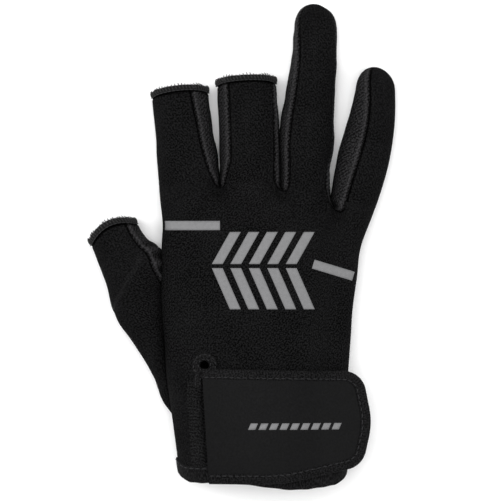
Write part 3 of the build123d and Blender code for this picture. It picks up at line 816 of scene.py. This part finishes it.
def inset(line, amount, closed=True):
    """A line in plan moved to its left by amount."""
    ahead = np.roll(line, -1, axis=0) - np.roll(line, 1, axis=0) if closed else np.gradient(line, axis=0)
    ahead = ahead / np.linalg.norm(ahead, axis=1, keepdims=True)
    return line + np.stack([-ahead[:, 1], ahead[:, 0]], axis=1) * amount


def fan(outline, centre, rings):
    """A grid of plan points from a centre out to an outline, in the given number of rings."""
    share = np.linspace(0, 1, rings)[:, None, None]
    return np.asarray(centre) + (outline[None] - np.asarray(centre)) * share


def tubes(name, runs, up, radius, paint):
    """Threads: each run of points becomes a six-sided tube with its ends tapered and closed. up is the
    direction away from the cloth at each point."""
    runs, up = np.asarray(runs, float), np.asarray(up, float)
    many, steps = runs.shape[:2]
    ahead = np.gradient(runs, axis=1)
    ahead = ahead / np.linalg.norm(ahead, axis=2, keepdims=True)
    side = np.cross(ahead, up)
    side = side / np.linalg.norm(side, axis=2, keepdims=True)
    above = np.cross(side, ahead)
    turn = np.arange(6) * math.pi / 3
    size = radius * np.sin(np.linspace(0.35, math.pi - 0.35, steps)) ** 0.5
    ring = side[:, :, None] * np.cos(turn)[:, None] + above[:, :, None] * np.sin(turn)[:, None]
    points = runs[:, :, None] + ring * size[:, None, None]
    index = np.arange(many * steps * 6).reshape(many, steps, 6)
    beside = np.roll(index, -1, axis=2)
    walls = np.stack([index[:, :-1], index[:, 1:], beside[:, 1:], beside[:, :-1]], axis=3).reshape(-1, 4)
    mesh = bpy.data.meshes.new(name)
    ends = index[:, 0].tolist() + index[:, -1, ::-1].tolist()
    mesh.from_pydata((points.reshape(-1, 3) * MM).tolist(), [], walls.tolist() + ends)
    mesh.shade_smooth()
    return placed(name, mesh, paint)


def running_stitch(line, up, length=2.6, gap=0.9, sink=0.28, steps=5):
    """Runs of points for stitches along a line, each with its ends pulled into the cloth."""
    reach = length_to(line)
    many = int(reach[-1] / (length + gap))
    at = (np.arange(many) * (length + gap) + gap / 2)[:, None] + np.linspace(0, length, steps)
    points, above = (np.stack([np.interp(at, reach, values[:, k]) for k in range(3)], axis=2)
                     for values in (line, up))
    return points + above * (sink * (np.sin(math.pi * np.linspace(0, 1, steps)) ** 0.6 - 0.75))[:, None], above


def simple(name, colour, rough, grain, specular=0.2, sheen=0.0):
    """A material with a fine uneven grain: its scale per millimetre, its share of the colour and its relief."""
    paint, tree, shader = new_paint(name)
    scale, share, relief = grain
    place = add(tree, "TexCoord", {}).outputs["Object"]
    noise = add(tree, "TexNoise", {"Vector": place, "Scale": scale / MM, "Detail": 4.0}).outputs["Fac"]
    low, high = (tuple(c * (1 + side * share) for c in colour) for side in (-1, 1))
    mixed = add(tree, "Mix", {"Factor": noise, "A": (*low, 1), "B": (*high, 1)}, data_type="RGBA")
    bump = add(tree, "Bump", {"Height": noise, "Distance": relief * MM}).outputs[0]
    fill(shader, {"Base Color": mixed.outputs["Result"], "Normal": bump, "Roughness": rough,
                  "Specular IOR Level": specular, "Sheen Weight": sheen})
    return paint


thread = simple("thread", (0.015, 0.015, 0.016), 0.6, grain=(3.0, 0.6, 0.03))
whip_thread = simple("whip_thread", (0.022, 0.0215, 0.022), 0.75, specular=0.12, grain=(0.8, 0.8, 0.08))
grip = fabric("grip", (0.003, 0.003, 0.0032), (0.013, 0.013, 0.0135), 2.2, 45, 0.5, 0.25, rough=0.7, rib=1.6,
              specular=0.15)


def stitch_row(name, line, height, rise, radius, body, *stitch, up=1.0, **more):
    """A running stitch along a line in plan, at a rise over height(x, y)."""
    line = laid(line, height, rise)
    runs, above = running_stitch(line, np.tile([0.0, 0.0, up], (len(line), 1)), *stitch, **more)
    finished(tubes(name, runs, above, radius, thread), body=body)


def flat_patch(name, outline, centre, rings, height, rise, paint, thick, core, drop=0.0, rim=1.0):
    """A patch of cloth laid at a rise over height(x, y), whose last share, rim, drops towards the face below.
    core is the height of a point on its inner side."""
    share = np.linspace(0, 1, rings)[:, None]
    points = laid(fan(outline, centre, rings), height, rise - drop * smooth((share - 1 + rim) / rim))
    return cloth(name, points, paint, thick, inside=(*centre, core), uv=points[..., :2], round_row=True)


def sole_height(x, y):
    """Height of the underside of the hand over a point in plan."""
    x0, half, seam, _ = np.moveaxis(along(HAND, y), -1, 0)
    c = np.clip(np.abs(x - x0) / half, 0, 1)
    return seam - (seam - SOLE_Z) * (1 - c**SOLE_POWER) ** (1 / SOLE_POWER)


PATCH_CORNERS = [(-30, -58, 6), (32, -58, 8), (41, -20, 30), (43, 24, 8), (33, 34, 6), (-26, 35, 8),
                 (-34, 28, 5), (-35, -20, 40)]
patch_line = rounded(PATCH_CORNERS)
patch = flat_patch("grip_patch", patch_line, (3, -12), 40, sole_height, -0.75, grip, 0.7, 9, -0.6, 0.015)
finished(patch, "palm_reinforcement", "hand")
for k, amount in enumerate((2.0, 4.4)):
    line = inset(patch_line, amount)
    line = np.concatenate([line, line[:1]])
    stitch_row(f"patch_stitch_{k + 1}", line, sole_height, -0.72, 0.16, "hand", up=-1.0, sink=0.1)

# ---- Thumb
# A cut stall that grows out of the hand's side, in a back panel, a wrinkled gusset on the side of the index
# finger and a palm side. It folds against the hand along the hand's side and bends at its own joint.

THUMB_BEND = 79.0
THUMB_WRINKLE = 7.5  # distance between the gusset's wrinkles


def thumb_part(part, piece_name, s):
    """One part of the thumb over lengths s, like a finger's, with cross wrinkles in the gusset that carry painted
    shade in their troughs and a painted highlight on their crests.
    """
    points, from_first, from_last = panel_grid("thumb", part, s)
    edge = np.minimum(from_first, from_last)
    if part == "right":
        fold = np.sin((s[:, None] - 58) * 2 * math.pi / THUMB_WRINKLE + 0.35 * from_first)
        fold = fold * smooth(edge / 4) * smooth((88 - s[:, None]) / 20)
        # Painted shade in the stitch line and the wrinkles' troughs, painted highlights on the welt and the
        # wrinkles' crests.
        lift, painted_light_and_tone = seam_edge(edge, 0.8, 0.7) + 0.75 * fold, seam_shade_and_highlight(from_first, 0.8, 0.7) + 0.25 * fold
    else:
        crease = np.exp(-(((s[:, None] - 66 + 0.55 * from_first - 9) / 1.6) ** 2)) * smooth(edge / 6)
        crease = crease if part == "back" else 0 * crease
        # Painted shade in the stitch lines, with a faint painted highlight on the welts.
        lift, painted_light_and_tone = seam_edge(edge, 0.7, 0.3) + 0.4 * ripple(points, 24) - 0.6 * crease, seam_shade_and_highlight(edge, 0.8, 0.15)
        # Lighter along the crease.
        painted_light_and_tone = painted_light_and_tone + 0.3 * crease
    return sewn_part("thumb", part, piece_name, s, points, lift, painted_light_and_tone)


THUMB_NODES = {
    "back": ("thumb_base_back", "thumb_tip_back"),
    "right": ("thumb_web", "thumb_tip_right_fourchette"),
    "palm": ("thumb_base_palm", "thumb_tip_palm"),
}
for part, (base_node, tip_node) in THUMB_NODES.items():
    piece = thumb_part(part, f"thumb_{part}", spaced(THUMB_FOOT, THUMB_BEND))
    finished(piece, base_node)
    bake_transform(piece)
    piece = thumb_part(part, f"thumb_tip_{part}", spaced(THUMB_BEND, TIP["thumb"], 0.8))
    finished(piece, tip_node)
    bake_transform(piece)

# ---- Overlocked hems
# Each cut end is bound by a serger: a raised band with slanted whip threads over the edge and a chain along
# its foot.

fuzz = simple("hem_thread", (0.008, 0.008, 0.0082), 0.9, specular=0.05, sheen=0.02, grain=(0.9, 0.95, 0.25))
HEM_PROFILE = [(-2.6, -0.5), (-2.5, 0.15), (-2.1, 0.3), (-1.2, 0.38), (-0.4, 0.3), (0.1, -0.05), (0.2, -0.9),
               (0.2, -1.9), (-1.2, -2.3), (-2.6, -2.1)]
WHIP = 1.5  # spacing of the whip threads

turn = np.linspace(0, 2 * math.pi, 160, endpoint=False)[None, :]
chain_turn = np.linspace(0, 2 * math.pi, 200)
steps = np.array(HEM_PROFILE + HEM_PROFILE[:1])
uneven = 0.10 * np.sin(37 * turn) + 0.07 * np.sin(71 * turn + 1)
share = np.linspace(0, 1, 7)
for name, body in (("index", "index"), ("middle", "middle"), ("thumb", "thumb_tip")):
    end = TIP[name]
    band = finger(name, turn + 0 * steps[:, :1], end + steps[:, :1] + uneven, steps[:, 1:])
    hem = cloth(f"{name}_hem_band", band, fuzz, 0, inside=np.mean(band[0], axis=0), round_row=True)
    finished(hem, f"{name}_hem", body)
    many = int(length_to(band[4])[-1] / WHIP)
    thread_number = np.arange(many)[:, None]
    step = 2 * math.pi / many
    wobble, other = np.sin(thread_number * 12.9), np.sin(thread_number * 7.3 + 1)
    angle = thread_number * step + share * step * (0.8 + 0.25 * wobble)
    place = end - 2.3 + (3.1 + 0.45 * other) * share
    proud = np.interp(share, [0, 0.15, 0.5, 0.85, 1], [0.0, 0.35, 0.55, 0.4, 0.0])[None] + 0.12 * wobble
    runs = finger(name, angle, place, proud + 0 * angle)
    above = finger(name, angle, place, proud + 1.0 + 0 * angle) - runs
    finished(tubes(f"{name}_hem_whips", runs, above, 0.27, whip_thread), body=body)
    ring, over = (finger(name, chain_turn, np.full(200, end - 2.5), rise) for rise in (0.35, 1.35))
    chain = tubes(f"{name}_hem_chain", *running_stitch(ring, over - ring, 2.0, 0.25, 0.2), 0.24, thread)
    finished(chain, body=body)

# ---- Cuff
# Woven tape binds the open end, folded over inside and out and sewn through in one row. The slit's eye is
# ringed with the same tape, and the cloth stands in a fold where the strap is sewn on.

tape = fabric("tape", BLACK, (0.0115, 0.0113, 0.0118), 1.5, 8, 0.8, 0.32, rough=0.85, rib=0.8)
CUFF_PROFILE = [(7.6, -0.4), (7.6, 0.3), (7.1, 0.62), (4.0, 0.7), (1.0, 0.68), (-0.3, 0.5), (-0.8, -0.3),
                (-0.7, -1.4), (0.2, -2.3), (4.0, -2.45), (7.4, -2.3), (7.5, -1.8)]


def cuff_ring(angle, rise, proud):
    """A point round the cuff: rise along the glove from the panels' end, and proud of the skin."""
    skin = hand_skin(angle, -96.0 + 0 * angle)
    y = cuff_line(skin[..., 0]) + rise
    return hand_skin(angle, y, proud)


steps = np.array(CUFF_PROFILE + CUFF_PROFILE[:1])
turn = np.linspace(0, 2 * math.pi, 300, endpoint=False)[None, :]
cuff = cuff_ring(turn + 0 * steps[:, :1], steps[:, :1] + 0.12 * np.sin(23 * turn), steps[:, 1:] + 0 * turn)
cuff_uv = np.stack([turn * 42 + 0 * steps[:, :1], np.cumsum(steps[:, :1] * 0 + 1.4, axis=0) + 0 * turn], axis=2)
cuff_tape = cloth("cuff_tape", cuff, tape, 0, inside=(3, -98, 15), uv=cuff_uv, round_row=True)
finished(cuff_tape, "cuff_hem", "hand")
turn = np.linspace(0, 2 * math.pi, 400)
ring, over = (cuff_ring(turn, 6.4 + 0 * turn, rise) for rise in (0.66, 1.66))
cuff_stitch = tubes("cuff_stitch", *running_stitch(ring, over - ring), 0.24, thread)
finished(cuff_stitch, body="hand")


def swept_tape(name, line, height, profile, paint):
    """A band swept along a line in plan, with closed ends. The profile gives its section as distance to the
    line's left and rise above height(x, y), going round."""
    profile = np.array(profile + profile[:1])
    grid = np.array([laid(inset(line, left, False), height, rise) for left, rise in profile])
    uv = np.stack(np.meshgrid(length_to(line), length_to(profile)), axis=2)
    if outward(grid, grid[:-1].mean(axis=0)[None]) < 0:
        grid, uv = grid[::-1], uv[::-1]
    ends = [grid[:, :1] * 0 + grid[:-1, k].mean(axis=0) for k in (0, -1)]
    grid = np.concatenate([ends[0], grid, ends[1]], axis=1)
    uv = np.concatenate([uv[:, :1], uv, uv[:, -1:]], axis=1)
    return cloth(name, grid, paint, 0, uv=uv)


EYE_RING = 4.3  # radius of the tape's middle round the eye
eye_turn = np.radians(np.linspace(-75, 255, 60))
eye_line = np.array(EYE) + np.concatenate([
    [[9, -5.2], [5, -5.0]], EYE_RING * np.column_stack([np.cos(eye_turn), np.sin(eye_turn)]),
    [[-3.4, -7.5], [-3.2, -12]],
])
eye_reach = length_to(eye_line)
eye_table = np.column_stack([eye_reach, eye_line])[[0, 1, *range(3, 60, 6), 62, 63]]
eye_line = along(eye_table, np.linspace(0, eye_reach[-1], 90))
EYE_PROFILE = [(-2.1, -0.6), (-2.1, 0.6), (-1.5, 1.2), (0, 1.45), (1.5, 1.2), (2.1, 0.6), (2.1, -0.6)]
eye_tape = swept_tape("eye_tape", eye_line, crown_height, EYE_PROFILE, tape)
finished(eye_tape, "slit_eye", "hand")
for k, side in enumerate((-1.2, 1.2)):
    stitch_row(f"eye_stitch_{k + 1}", inset(eye_line, side, False), crown_height, 1.3, 0.18, "hand", 1.7, 0.7)

facing = fabric("cuff_facing", BLACK, (0.0115, 0.0115, 0.0118), 1.6, 80, 0.8, 0.2, rib=1.5, specular=0.03)


def root_x(y):
    """Where the strap is sewn on, at y."""
    return -26.9 + (y + 44.4) * 3.5 / -57.0


v = np.linspace(0, 1, 70)[:, None]
u = np.linspace(0, 1, 26)[None, :]
fold_y = -49.8 - 44.4 * v + 0 * u
fold_x = root_x(fold_y) - 9.4 + 9.6 * u
fold_rise = -0.7 + 3.3 * np.sin(math.pi * np.clip(u, 0, 0.93) ** 1.5) ** 0.8 * np.sin(math.pi * v) ** 0.3
fold_z = crown_height(fold_x, fold_y) + fold_rise + 0.25 * np.sin(fold_y * 1.1) * u * (1 - u)
fold_piece = cloth("strap_root", np.stack([fold_x, fold_y, fold_z], axis=2), facing, 0.9, inside=(-20, -72, 10))
finished(fold_piece, "strap_root_fold", "hand")

# Loops that catch the strap's hooks.
pile = fabric("pile", (0.001, 0.001, 0.0011), (0.02, 0.02, 0.021), 0.9, 30, 0.6, 0.5, rough=0.95, sheen=0.1,
              rib=0.4)
loop_line = rounded([(-14, -91, 4), (36, -91, 4), (36, -54, 4), (-14, -54, 4)])
loop_piece = flat_patch("loop_pile", loop_line, (11, -72.5), 30, crown_height, 0.75, pile, 0.5, 10, 0.6, 0.03)
finished(loop_piece, "loop_patch", "hand")

# ---- Strap
# A smooth rubber-faced strap, sewn on at the thumb's side. It runs over the cuff and off its other side, and
# rough tape binds its free edges.

STRAP_LEAVES = math.radians(47)  # how far round the cuff the strap follows it before running off straight


def strap_height(x, y, lift=4.9):
    """Height of the strap over a point in plan: an ellipse at that lift off the cuff, then straight on."""
    x0, half, _, top = np.moveaxis(along(HAND, y), -1, 0)
    seam = 1 + 0.4 * (top - 1)
    across, up = half + lift, top - seam + lift
    c = (x - x0) / across
    edge = math.cos(STRAP_LEAVES)
    curve = seam + up * np.sqrt(np.clip(1 - np.clip(c, -1, edge) ** 2, 0, 1))
    return curve - np.maximum(c - edge, 0) * up * edge / math.sin(STRAP_LEAVES)


strap_face = simple("strap_face", (0.0036, 0.0036, 0.0038), 0.5, specular=0.05, grain=(1.1, 0.9, 0.06))
strap_corners = [(-23.4, -100.9, 0), (14, -100.9, 80), (52.8, -92.2, 11), (57.6, -71, 36), (52.5, -45.8, 11),
                 (-26.9, -44.4, 0)]
strap_line = rounded(strap_corners, 1.0, closed=False)
STRAP_MIDDLE = (16, -73)
FACE_SHARE = 0.965  # of the way out to the tape's outer edge
root_line = np.linspace(strap_line[-1], strap_line[0], 50)[1:-1]
face_line = np.concatenate([STRAP_MIDDLE + (strap_line - STRAP_MIDDLE) * FACE_SHARE, root_line])
strap_plan = fan(face_line, STRAP_MIDDLE, 56)
strap_points = laid(strap_plan, strap_height)
strap_points[..., 2] += 0.18 * ripple(strap_points, 26)
strap_piece = cloth("strap_face", strap_points, strap_face, 2.7, inside=(*STRAP_MIDDLE, 10), uv=strap_plan,
                    round_row=True)
finished(strap_piece, "strap_panel", "strap")

TAPE_PROFILE = [(4.7, -0.3), (4.6, 0.3), (4.1, 0.5), (2.4, 0.6), (0.8, 0.5), (-0.1, 0.05), (-0.45, -0.9),
                (-0.45, -2.1), (-0.1, -3.0), (0.8, -3.4), (4.4, -3.4), (4.6, -2.9)]
strap_tape = swept_tape("strap_edge", strap_line, strap_height, TAPE_PROFILE, tape)
finished(strap_tape, "strap_tape", "strap")
stitch_row("strap_stitch", inset(strap_line, 3.7, False), strap_height, 0.55, 0.22, "strap", 2.4, 0.8)

hooks = simple("hooks", (0.01, 0.01, 0.011), 0.5, specular=0.4, grain=(2.2, 0.8, 0.4))
HOOK_LIFT = 1.9  # the strap's underside is that far off the cuff
hook_line = rounded([(4, -87, 3), (33, -87, 3), (33, -57, 3), (4, -57, 3)])
hook_piece = flat_patch("hook_tape", hook_line, (18, -72), 24, lambda x, y: strap_height(x, y, HOOK_LIFT), -0.1,
                        hooks, 0.45, 60)
finished(hook_piece, "hook_patch", "strap")

# ---- Prints
# Thin silver films: two bars and two rows of leaning stripes on the back, and a row of dashes on the strap.
# Each lies on the face below it.

silver = simple("silver_print", (0.145, 0.145, 0.148), 0.5, specular=0.25, grain=(0.7, 0.2, 0.05))
PRINT_START = 60  # height that the films are laid down from


def print_film(name, shapes, target, node, body):
    """Four-cornered films in plan, given by their corners in turn, laid on a piece."""
    points, faces = [], []
    for shape in shapes:
        a, b, c, d = np.array(shape, float)
        across, ahead = (max(3, int(np.linalg.norm(side - a))) + 1 for side in (b, d))
        u, v = (t[..., None] for t in np.meshgrid(np.linspace(0, 1, across), np.linspace(0, 1, ahead)))
        plan = a * (1 - u) * (1 - v) + b * u * (1 - v) + c * u * v + d * (1 - u) * v
        index = len(points) + np.arange(across * ahead).reshape(ahead, across)
        points += [(x * MM, y * MM, PRINT_START * MM) for x, y in plan.reshape(-1, 2)]
        quads = np.stack([index[:-1, :-1], index[:-1, 1:], index[1:, 1:], index[1:, :-1]], axis=2)
        faces += quads.reshape(-1, 4).tolist()
    mesh = bpy.data.meshes.new(name)
    mesh.from_pydata(points, [], faces)
    mesh.shade_smooth()
    film = placed(name, mesh, silver)
    lay = film.modifiers.new("lay", "SHRINKWRAP")
    lay.target = target
    lay.wrap_method = "PROJECT"
    lay.use_project_z = True
    lay.use_negative_direction = True
    lay.use_positive_direction = False
    lay.offset = 0.14 * MM
    wall = film.modifiers.new("wall", "SOLIDIFY")
    wall.thickness = 0.12 * MM
    finished(film, node, body)


def bar(start, stop, width):
    """A bar's corners, square to its run."""
    start, stop = np.array(start, float), np.array(stop, float)
    side = (stop - start) / np.linalg.norm(stop - start) * width / 2
    side = np.array([-side[1], side[0]])
    return [start - side, stop - side, stop + side, start + side]


def leaning(x, low, high, width, lean):
    """A stripe's corners: from x at its foot, its head moved over by lean."""
    return [(x, low), (x + width, low), (x + width + lean, high), (x + lean, high)]


marks = [bar((-45.5, 27.2), (-18, 27.2), 4.6), bar((28.5, 8), (48.6, 1.9), 4.6)]
for k in range(5):
    marks.append(leaning(-22 + 9.2 * k, 8, 24, 5.4, 9))
    marks.append(leaning(-13 + 9.2 * k, -14.5, 6, 5.4, -9))
print_film("back_marks", marks, back_panel, "back_print", "hand")
dashes = [leaning(-4 + 5.2 * k, -74.2, -71.0, 3.6, 1.4) for k in range(9)]
print_film("strap_marks", dashes, strap_piece, "strap_print", "strap")
